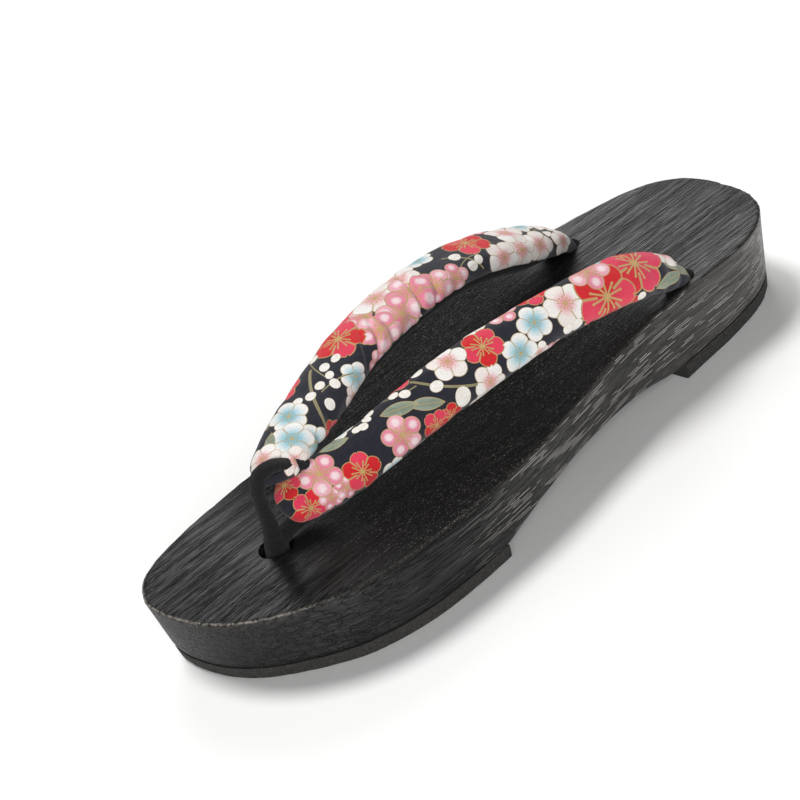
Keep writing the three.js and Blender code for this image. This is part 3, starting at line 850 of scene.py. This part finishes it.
COVER_COLUMNS = 67
COVER_BELOW = 13
BELOW_STEP = 0.8
LINING_COLUMNS = 31
LINING_BELOW = 11


def pleated(along, around, pleats):
    lift = np.zeros(np.broadcast(along, around).shape)
    for place, middle, half, width, depth, slant in pleats:
        t = along - place - slant * (around - middle)
        fade = np.exp(-(((around - middle) / half) ** 4))
        groove = np.exp(-((t / width) ** 2))
        before, after = (t + 1.9 * width) / (1.3 * width), (t - 1.9 * width) / (1.3 * width)
        ridge = np.exp(-(before**2)) + 0.6 * np.exp(-(after**2))
        lift += fade * depth * (0.45 * ridge - groove)
    return lift


def cover_section():
    """Angles round the upper part of the oval, and how far below its middle the lining line lies."""
    drop = 0.5 - LINING_SHARE
    dip = math.asin((2 * drop) ** (1 / ROUNDNESS))
    return np.linspace(-dip, math.pi + dip, COVER_COLUMNS), drop


def closed_below(x, y, count):
    """Section offsets with a row of points back across the flat lower side."""
    share = np.linspace(0, 1, count + 2)[1:-1]
    x = np.concatenate([x, x[:, -1:] + (x[:, :1] - x[:, -1:]) * share], axis=1)
    y = np.concatenate([y, y[:, -1:] + (y[:, :1] - y[:, -1:]) * share], axis=1)
    return x, y


def cover_arm(band, pleats, seed):
    angle, drop = cover_section()
    ox, oy = oval(angle)
    nose = np.sqrt(np.clip(1 - (1 - np.clip(band.along / 5.0, 0, 1)) ** 2, 0.004, 1))[:, None]
    x, y = ox * band.wide[:, None] / 2 * nose, oy * band.thick[:, None] / 2 * nose
    step = np.hypot(np.diff(x, axis=1), np.diff(y, axis=1))
    run = np.concatenate([np.zeros((len(x), 1)), np.cumsum(step, axis=1)], axis=1)
    middle = COVER_COLUMNS // 2
    around = run[:, middle:middle + 1] - run
    nx, ny = np.gradient(y, axis=1), -np.gradient(x, axis=1)
    size = np.hypot(nx, ny) + 1e-9
    cloth = np.stack([np.broadcast_to(band.along[:, None], around.shape), around], -1)
    lift = pleated(band.along[:, None], around, pleats)
    lift += 0.16 * ripple(cloth.reshape(-1, 2), seed, (16.0, 9.0)).reshape(around.shape)
    x, y = x + nx / size * lift * nose, y + ny / size * lift * nose
    x, y = closed_below(x, y, COVER_BELOW)
    gap = np.cumsum(np.full((len(x), COVER_BELOW), BELOW_STEP), axis=1)
    around = np.concatenate([around, around[:, -1:] - gap], axis=1)
    return band.place(x, y), around


def squeezed(points, band):
    """Points that the thong would run through, pushed towards the middle of the band."""
    flat = points.reshape(-1, 3)
    middle = np.repeat(band.centre, points.shape[1], axis=0)
    for path in thong_paths:
        near = np.flatnonzero(flat[:, 1] < -58)
        for _ in range(14):
            gap = np.linalg.norm(flat[near][:, None] - path.centre[None, ::2], axis=2)
            k = gap.argmin(axis=1) * 2
            tight = gap.min(axis=1) < (path.thick[k] + path.wide[k]) / 4 + 0.2
            chosen = near[tight]
            flat[chosen] += (middle[chosen] - flat[chosen]) * 0.12
    return flat.reshape(points.shape)


outer_cover, outer_around = cover_arm(outer_band, OUTER_PLEATS, 41)
inner_cover, inner_around = cover_arm(inner_band, INNER_PLEATS, 51)
outer_cover, inner_cover = squeezed(outer_cover, outer_band), squeezed(inner_cover, inner_band)
print("cover stations:", outer_cover.shape[0], "+", inner_cover.shape[0])

# %% [markdown]
# ## Charting the print
# The cotton is a traditional spring print: cherry and plum blossom, buds on twigs and leaves,
# outlined in gold on navy. A blossom has to keep its crisp outline from close by, so it isn't
# painted on the points. Each face of the cover carries, at its corners, the place of the face
# within the blossom that lies over it, and the shader draws the petals from that place.
# Three layers are kept, so that blossoms may overlap. The chart is given blossom by blossom.

# %% Print chart
RED, ROSE, PINK, WHITE, BLUE, LEAF, BUD, TWIG = range(1, 9)
# RED and ROSE are cherry blossom. PINK, WHITE and BLUE are plum blossom.
# Each row: kind, distance along, distance around, radius, turn in degrees. Earlier rows lie on top.
OUTER_PRINT = [
    (RED, 3.5, -3.4, 5.2, 10), (PINK, 13.9, -1.2, 7, 40), (RED, 24.4, 5, 6, 75),
    (PINK, 18.2, 6.2, 3.8, 10), (PINK, 13.2, 6.4, 3.8, 50), (ROSE, 7, 6.2, 5.6, 20),
    (LEAF, 23.2, -6.4, 4.8, 12), (PINK, 39.8, 3.8, 6.5, 64), (LEAF, 44, -2.6, 5.8, -158),
    (LEAF, 51, 1.2, 5.6, 30), (RED, 50, 8.2, 4.8, 30), (RED, 55.4, 8.8, 4.2, 80),
    (BUD, 37.4, -8.2, 1.7, 0), (BUD, 35.4, -6.8, 1.5, 40), (BUD, 33, -5.4, 1.6, 20),
    (BUD, 31, -6, 1.4, 0), (BUD, 46, -7.2, 1.6, 0), (BUD, 48.4, -5, 1.7, 30), (BUD, 55.7, -8.6, 2, 0),
    (BUD, 56.7, -1, 2.1, 0), (BUD, 61.2, 6, 3.1, 120), (TWIG, 59.6, -0.8, 9.8, 40),
    (TWIG, 34.2, -7.2, 5, -20), (TWIG, 47.4, -6.6, 5.4, 20), (WHITE, 64.1, -5, 6.3, 0),
    (RED, 75, -2.8, 6.6, 30), (WHITE, 71.1, 7.2, 5.8, 30), (BLUE, 83.5, 5, 6.2, 10),
    (BLUE, 92.4, -0.4, 5.8, 50), (WHITE, 90, 8.4, 3.6, 10), (BUD, 101.4, 6.6, 2, 30),
    (BUD, 104.9, 6.8, 2.1, -30), (PINK, 117, -6.6, 7.2, 20), (RED, 117.6, 3.4, 11.2, 15),
    (WHITE, 104.2, -0.6, 7.4, 45), (ROSE, 131.8, -2.6, 10.6, 60), (BUD, 131, 7.8, 1.8, 0),
    (WHITE, 145, -5.4, 5.8, 0), (LEAF, 147, -0.6, 6, 12), (LEAF, 143, 4.4, 6, -25),
    (WHITE, 8, -10, 4.8, 0), (BLUE, 27.5, -11.5, 5.2, 30), (RED, 50, -12.5, 5.8, 12),
    (PINK, 62, -13, 5.2, 12), (WHITE, 77, -12, 5.2, 50), (PINK, 87, -9.6, 5.4, 5),
    (ROSE, 98, -9.8, 5.8, 25), (BLUE, 123, -10.6, 5.6, 20), (LEAF, 110, -11.6, 5, 20),
    (PINK, 140, -9.6, 4.6, 10), (BLUE, 33, 11.6, 4.6, 15), (WHITE, 66, 12.6, 4.2, 0),
    (PINK, 95, 12, 4.6, 40), (RED, 127, 11, 4.6, 0), (LEAF, 79, 12, 4.6, 5), (BUD, 44, 11.6, 1.8, 0),
]
INNER_PRINT = [
    (WHITE, 5.6, 2, 5.6, 0), (WHITE, 7.6, -7.4, 4.8, 30), (LEAF, 11, 2.4, 4.6, 20),
    (BLUE, 13.8, -3.2, 6.8, 20), (BLUE, 17, -9.4, 6.2, 60), (BLUE, 21.6, 1.8, 6.2, 40),
    (BUD, 30.6, -0.6, 1.9, 0), (BUD, 35.2, -1.2, 1.8, 0), (BUD, 30.6, -6.8, 2, 40),
    (BUD, 42.3, 0.8, 1.8, 0), (BUD, 45.4, 6.8, 1.8, 0), (BUD, 37.7, -4.8, 1.9, 60),
    (BUD, 40, -2, 1.6, 20), (BUD, 27.6, 2, 1.7, 0), (BUD, 46.4, -0.8, 1.7, 0), (TWIG, 32, -2.6, 11.5, 40),
    (TWIG, 38.5, -5.4, 6, -25), (TWIG, 41.4, 2.4, 5.4, 60), (BLUE, 43.4, -8.8, 5, 10),
    (WHITE, 39, -12.6, 4.2, 20), (RED, 53.4, 2.6, 8.4, 15), (PINK, 62, -6.4, 7.6, 20),
    (PINK, 71.4, -7.6, 8, 55), (PINK, 80, -4.8, 8.8, 10), (PINK, 88, -8, 7, 30), (PINK, 96, -9.6, 5.6, 0),
    (WHITE, 73, 3.4, 8.8, 30), (PINK, 64.6, 0.6, 6.8, 5), (WHITE, 84, 4.2, 7.4, 12),
    (BUD, 101.9, -3.2, 2.1, 0), (BUD, 104.5, -8.8, 2.1, 0), (BUD, 108, -7.6, 1.8, 40),
    (BUD, 97.4, -8.6, 1.8, 0), (TWIG, 103.4, -6, 7, -45), (TWIG, 104.6, -6.6, 4.6, 10),
    (RED, 111.2, 1.4, 7.8, 25), (WHITE, 127.4, 0.4, 7, 10), (WHITE, 117.8, -9.8, 6.8, 50),
    (WHITE, 126.2, -8.2, 6.8, 20), (WHITE, 136, -7.2, 6.8, 0), (TWIG, 140, -1.6, 6, 10),
    (WHITE, 148.6, -6.6, 5.6, 20), (WHITE, 147.6, 2.6, 5.6, 50), (BUD, 143, -3, 1.8, 0),
    (RED, 33, 10.5, 5.8, 20), (BLUE, 95, 6, 5.6, 0), (ROSE, 63, 10.5, 5.6, 33), (LEAF, 21, 8.6, 4.8, 20),
    (LEAF, 104, 8, 5, -20), (PINK, 120, 9.6, 5.8, 10), (BLUE, 137, 4.4, 5.4, 42), (PINK, 146, 6, 4.6, 10),
    (RED, 152, 0.5, 4.4, 0), (LEAF, 85, 12, 4.6, 10), (WHITE, 46, 12.4, 5, 5), (PINK, 107, 13.5, 4.6, 5),
    (PINK, 54, -13.4, 4.6, 10), (WHITE, 74, -14, 4.6, 10), (RED, 25, -13.4, 4.6, 10),
]
LAYERS = 3
NOWHERE = (9.0, 9.0, 0.5)


def covers(kind, u, v, slack):
    """Whether a blossom of this kind reaches the place u, v of its own frame."""
    if kind == TWIG:
        return (np.abs(u) < 1 + slack) & (np.abs(v - 0.16 * (1 - u * u)) < 0.12 + slack)
    if kind == LEAF:
        return (np.abs(u) < 1 + slack) & (np.abs(v) < 0.40 + slack)
    return u * u + v * v < (1.02 + slack) ** 2


def chart_arm(along, around, chart):
    """Per face and layer, the four corners' places in the blossom that covers the face."""
    stations, columns = around.shape[0] - 1, around.shape[1]
    wrapped = np.concatenate([around, around[:, -1:] - BELOW_STEP], axis=1)
    s = np.broadcast_to(along[:, None], wrapped.shape)
    here, there = slice(0, -1), slice(1, None)
    corners = [(here, here), (here, there), (there, there), (there, here)]
    cs = np.stack([s[c] for c in corners], -1).reshape(-1, 4)
    cw = np.stack([wrapped[c] for c in corners], -1).reshape(-1, 4)
    places = np.empty((LAYERS, stations * columns, 4, 3))
    places[:] = NOWHERE
    used = np.zeros(stations * columns, int)
    for number, (kind, at, off, radius, turn) in enumerate(chart):
        a = math.radians(turn)
        ds, dw = (cs - at) / radius, (cw - off) / radius
        u, v = math.cos(a) * ds + math.sin(a) * dw, -math.sin(a) * ds + math.cos(a) * dw
        free = covers(kind, u.mean(axis=1), v.mean(axis=1), 0.5 / radius) & (used < LAYERS)
        chance = 0.25 + 0.5 * ((number * 0.618) % 1)
        for layer in range(LAYERS):
            own = free & (used == layer)
            places[layer, own] = np.stack([u[own], v[own], np.full_like(u[own], kind + chance)], -1)
        used += free
    return places


def cover_piece():
    points, faces, places, cloth = [], [], [], []
    for arm, around, band, chart in (
        (outer_cover, outer_around, outer_band, OUTER_PRINT),
        (inner_cover, inner_around, inner_band, INNER_PRINT),
    ):
        stations, columns = around.shape
        first = len(points)
        more, ends = capped(stations, columns, arm, first)
        points.extend([*arm.reshape(-1, 3), *ends])
        faces.extend(more)
        flat = chart_arm(band.along, around, chart).reshape(LAYERS, -1, 3)
        blank = np.broadcast_to(NOWHERE, (LAYERS, 6 * columns, 3))
        places.append(np.concatenate([flat, blank], axis=1))
        left = np.broadcast_to((band.along[-1] - band.along)[:, None], around.shape)
        spread = np.stack([np.broadcast_to(band.along[:, None], around.shape), around, left], -1)
        cloth.extend([*spread.reshape(-1, 3), (0, 0, 99), (band.along[-1], 0, 0)])
    piece = make_piece("printed_cover", points, faces)
    for layer in range(LAYERS):
        values = np.concatenate([p[layer] for p in places]).astype(np.float32)
        bloom = piece.data.attributes.new(f"bloom_{layer}", "FLOAT_VECTOR", "CORNER")
        bloom.data.foreach_set("vector", values.ravel())
    spread = np.array(cloth, np.float32).ravel()
    piece.data.attributes.new("cloth", "FLOAT_VECTOR", "POINT").data.foreach_set("vector", spread)
    return piece


cover = cover_piece()
print("cover faces:", len(cover.data.polygons), "corners:", len(cover.data.loops))

# %% [markdown]
# ## Drawing the blossoms
# A plum petal is a round lobe, and a cherry petal is longer with a notch at its tip. Folding the
# angle into one fifth of a turn lets one petal stand for all five. How deep a place lies inside
# the petal's edge gives both the fill and the gold line round it. Stamens are ten thin spokes
# with a dot on the end. Leaves, buds and twigs are simple ovals and arcs in the same frame.

# %% Print finish
GOLD = ink("c2a66c")
# Each row: kind, colour of most petals, colour of the others, colour of the heart.
INKS = [
    (RED, "d8121f", "e83a58", "c00a16"), (ROSE, "e6365a", "dc1a30", "cc1428"),
    (PINK, "ea8ba3", "f2b0be", "dd6d8a"), (WHITE, "f7eee8", "faf6f2", "ee8aa0"),
    (BLUE, "f6f4f0", "faf8f5", "1fb4cf"), (LEAF, "8c9a87", "9aa695", "5f7062"),
    (BUD, "f6f0e6", "faf6f0", "efd9d4"), (TWIG, "7f8468", "8b8f72", "6d735a"),
]


def by_kind(f, kind, column):
    """The colour in a column of INKS that belongs to a kind of blossom."""
    stops = [((row[0] - 0.5) / 10, ink(row[column])) for row in INKS]
    return f.add("ShaderNodeValToRGB", {"stops": stops}, {0: kind / 10})


def drawn_layer(f, name, below):
    u, v, coded = f.split(f.attribute(name, "Vector"))
    kind, chance = coded.floor(), coded.fract()
    r = (u * u + v * v).root()
    fifth = 2 * math.pi / 5
    turn = v.math("ARCTAN2", u) / fifth + 7.5
    petal = turn.floor()
    angle = (turn - petal - 0.5) * fifth
    x, y = r * angle.cos(), abs(r * angle.sin())
    cherry = kind < 2.5
    blossom = kind < 5.5
    pink = kind.near(PINK)
    reach = (x - 0.54 - pink * 0.04) / (0.45 - pink * 0.04)
    span = y / (0.45 - pink * 0.04)
    inside = (1 - (reach * reach + span * span).root()) * 0.4
    notch = (0.90 - x) + y * 1.7
    inside = inside.least(notch * cherry + (1 - cherry))
    seam = r * (fifth / 2 - abs(angle)).sin()
    inside = inside.most((0.30 - r))
    line = inside.least(seam.most(0.34 - r))
    leaf, bud, twig = kind.near(LEAF), kind.near(BUD), kind.near(TWIG)
    bend = abs(v - (1 - u * u) * 0.16)
    leaf_in = (1 - u * u) * 0.36 - abs(v)
    bud_in = (1 - (u * u + v * v * 1.5).root()) * 0.9
    twig_in = (0.040 - bend).least(1 - abs(u))
    body = blossom * inside + leaf * leaf_in + bud * bud_in + twig * twig_in
    edge = blossom * line + leaf * leaf_in.least(abs(v) + 0.02) + bud * bud_in + twig * (twig_in + 0.02)
    mask = body.ramp(-0.006, 0.012)
    pale = (kind > 3.5) * blossom
    gold_line = edge.ramp(0.050 - pale * 0.008, 0.026 - pale * 0.007)
    fill, other, heart = (by_kind(f, kind, column) for column in (1, 2, 3))
    pick = (petal * 0.37 + chance * 5.0).fract() > 0.5
    fill = f.blend(fill, other, pick)
    spot = ((x - 0.64) * (x - 0.64) + y * y * 1.2).ramp(0.066, 0.006) * pink * 0.75
    fill = f.blend(fill, ink("fff4f4"), spot)
    glow = r.ramp(0.62 + kind.near(BLUE) * 0.24, 0.10) * (1 - cherry * 0.55) * blossom
    fill = f.blend(fill, heart, glow * (0.85 - kind.near(3) * 0.35) + leaf * leaf_in.ramp(0.0, 0.3) * 0.4)
    fill = f.blend(fill, GOLD, gold_line * (0.92 - bud * 0.35 - pale * 0.14))
    spoke = (v.math("ARCTAN2", u) * (10 / (2 * math.pi)) + 5.0).fract() - 0.5
    beside = abs(r * (spoke * (2 * math.pi / 10)).sin())
    length = 0.24 + cherry * 0.18 + pink * 0.10 + petal.math("MODULO", 2.0) * 0.07
    bold = cherry + pink
    stamen = beside.ramp(0.024 + bold * 0.012, 0.010 + bold * 0.008) * r.ramp(length, length - 0.02)
    dot = (beside * beside + (r - length) * (r - length)).ramp(0.0022, 0.0008)
    core = r.ramp(0.11, 0.06)
    fill = f.blend(fill, ink("c8ab6c"), stamen.most(dot).most(core) * blossom * 0.95)
    return f.blend(below, fill, mask)


def printed_cotton():
    f = Finish("printed_cotton")
    along, around, left = f.split(f.attribute("cloth", "Vector"))
    place = f.vector(along, around, 0.0)
    dye = f.noise(place, 2.0, 0.6, 0.9)
    colour = f.blend(ink("11121f"), ink("1b1c2e"), dye.ramp(0.35, 0.7))
    for layer in reversed(range(LAYERS)):
        colour = drawn_layer(f, f"bloom_{layer}", colour)
    tail = left.ramp(8.8, 8.2)
    colour = f.blend(colour, ink("0b0b0c"), tail)
    warp = (along * (2 * math.pi * 2.3)).sin()
    weft = (around * (2 * math.pi * 2.3)).sin()
    slub = f.noise(place, 3.0, 0.65, 2.6)
    weave = warp * weft * 0.5 + slub * 1.2
    colour = f.blend(colour, ink("000000"), slub.ramp(0.62, 0.38) * 0.20)
    normal = f.bump(weave, 0.5, 0.00025)
    f.set(Sheen_Weight=0.18, Sheen_Roughness=0.5)
    return f.set(Base_Color=colour, Roughness=0.80 + slub * 0.1, Normal=normal)


dress(cover, printed_cotton(), "strap_cover")
print("print nodes:", len(cover.data.materials[0].node_tree.nodes))

# %% [markdown]
# ## The velvet lining
# Under each arm a strip of black velvet lies against the foot. It is the lower part of the same
# oval, a hair below the cover and bulging a little, from behind the crossing to the bend at the
# hole. Velvet is dark face on and pale at a slant, which the sheen of the shader gives.

# %% Lining
LINING_FROM, LINING_TO = 0.20, 0.86
LINING_SAG = 2.4


def lining_arm(band, seed):
    angle, drop = cover_section()
    dip = -angle[0]
    low = np.linspace(math.pi + dip + 0.04, 2 * math.pi - dip - 0.04, LINING_COLUMNS)
    first = int(LINING_FROM * (len(band.along) - 1))
    last = int(LINING_TO * (len(band.along) - 1))
    part = slice(first, last + 1)
    ox, oy = oval(low)
    wide, thick = band.wide[part][:, None], band.thick[part][:, None]
    x = ox * wide / 2
    y = np.minimum(oy * thick / 2, -drop * thick - LINING_GAP)
    run = band.along[part] - band.along[first]
    ends = eased(np.minimum(run, run[-1] - run) / 14.0)
    y = y - LINING_SAG * ends[:, None] * np.sin(np.linspace(0, np.pi, LINING_COLUMNS)) ** 0.35
    x, y = closed_below(x, y, LINING_BELOW)
    flat = np.stack([np.broadcast_to(band.along[part][:, None], x.shape).ravel(), x.ravel()], 1)
    y = y - np.abs(0.07 * ripple(flat, seed, (2.4, 2.0))).reshape(x.shape)
    centre, across, face = band.centre[part], band.across[part], band.face[part]
    return centre[:, None] + across[:, None] * x[..., None] + face[:, None] * y[..., None]


def black_velvet():
    f = Finish("black_velvet")
    pile = f.noise(f.scaled(f.place(), (2200, 2200, 2200)), 2.0, 0.6)
    brushed = f.noise(f.scaled(f.place(), (160, 60, 160)), 2.0)
    colour = f.blend(ink("070707"), ink("171718"), pile.ramp(0.35, 0.7))
    colour = f.blend(colour, ink("202022"), brushed.ramp(0.5, 0.75) * 0.4)
    normal = f.bump(pile, 0.5, 0.0004)
    return f.set(Base_Color=colour, Roughness=0.95, Normal=normal, Sheen_Weight=0.08, Sheen_Roughness=0.4)


velvet = black_velvet()
for name, band, seed in (("lining_outer", outer_band, 61), ("lining_inner", inner_band, 71)):
    strip = lining_arm(band, seed)
    faces, ends = capped(strip.shape[0], strip.shape[1], strip)
    lining = make_piece("velvet_" + name, [*strip.reshape(-1, 3), *ends], faces)
    dress(lining, velvet, name)
    print(lining.name, len(lining.data.polygons), "faces")

# %% [markdown]
# ## Floor and light
# Black wood shows by what it mirrors, so a round lamp stands low behind the inner side, where the
# footbed mirrors it softly. A second lamp stands low by the outer side and lights the near wall,
# and a broad sun above the inner side lights the straps and throws their shadow on the footbed.
# The sun is hidden from reflections, because its disc would show as a second, harder gleam.

# %% Floor and lamps
# Each row: name, place, aim, size in metres, power in watts.
LAMPS = [
    ("back_lamp", (-0.92, 0.62, 0.68), (0, 0.02, 0.03), 0.75, 6.8),
    ("front_lamp", (1.62, -0.91, 0.80), (0, 0.0, 0.02), 1.65, 33),
]
SUN_WAY = (0.42, 0.12, -0.95)
SUN_STRENGTH, SUN_SPREAD = 2.35, math.radians(22)
SKY_STRENGTH = 0.06
FLOOR_HALF, FLOOR_HEIGHT = 3000.0, -0.2


def studio_floor():
    f = Finish("studio_floor")
    cloud = f.noise(f.scaled(f.place(), (3, 3, 3)), 2.0)
    colour = f.blend(ink("f4f4f3"), ink("f8f8f7"), cloud)
    return f.set(Base_Color=colour, Roughness=0.9)


def add_lamp(name, place, aim, size, power):
    data = bpy.data.lights.new(name, "AREA")
    data.shape, data.size, data.energy = "DISK", size, power
    lamp = bpy.data.objects.new(name, data)
    bpy.context.scene.collection.objects.link(lamp)
    lamp.location = place
    lamp.rotation_euler = (Vector(aim) - Vector(place)).to_track_quat("-Z", "Y").to_euler()
    return lamp


def light_scene():
    turns = ((-1, -1), (1, -1), (1, 1), (-1, 1))
    corners = [(x * FLOOR_HALF, y * FLOOR_HALF, FLOOR_HEIGHT) for x, y in turns]
    floor = make_piece("floor", corners, [(0, 1, 2, 3)], smooth=False)
    floor.data.materials.append(studio_floor())
    for row in LAMPS:
        add_lamp(*row)
    sun = bpy.data.lights.new("key_sun", "SUN")
    sun.energy, sun.angle = SUN_STRENGTH, SUN_SPREAD
    key = bpy.data.objects.new("key_sun", sun)
    bpy.context.scene.collection.objects.link(key)
    key.visible_glossy = False
    key.rotation_euler = Vector(SUN_WAY).to_track_quat("-Z", "Y").to_euler()
    world = bpy.data.worlds.new("pale_sky")
    world.use_nodes = True
    sky = world.node_tree.nodes["Background"]
    sky.inputs["Color"].default_value = (1.0, 1.0, 1.0, 1.0)
    sky.inputs["Strength"].default_value = SKY_STRENGTH
    bpy.context.scene.world = world
    bpy.context.scene.view_settings.view_transform = "Standard"


light_scene()
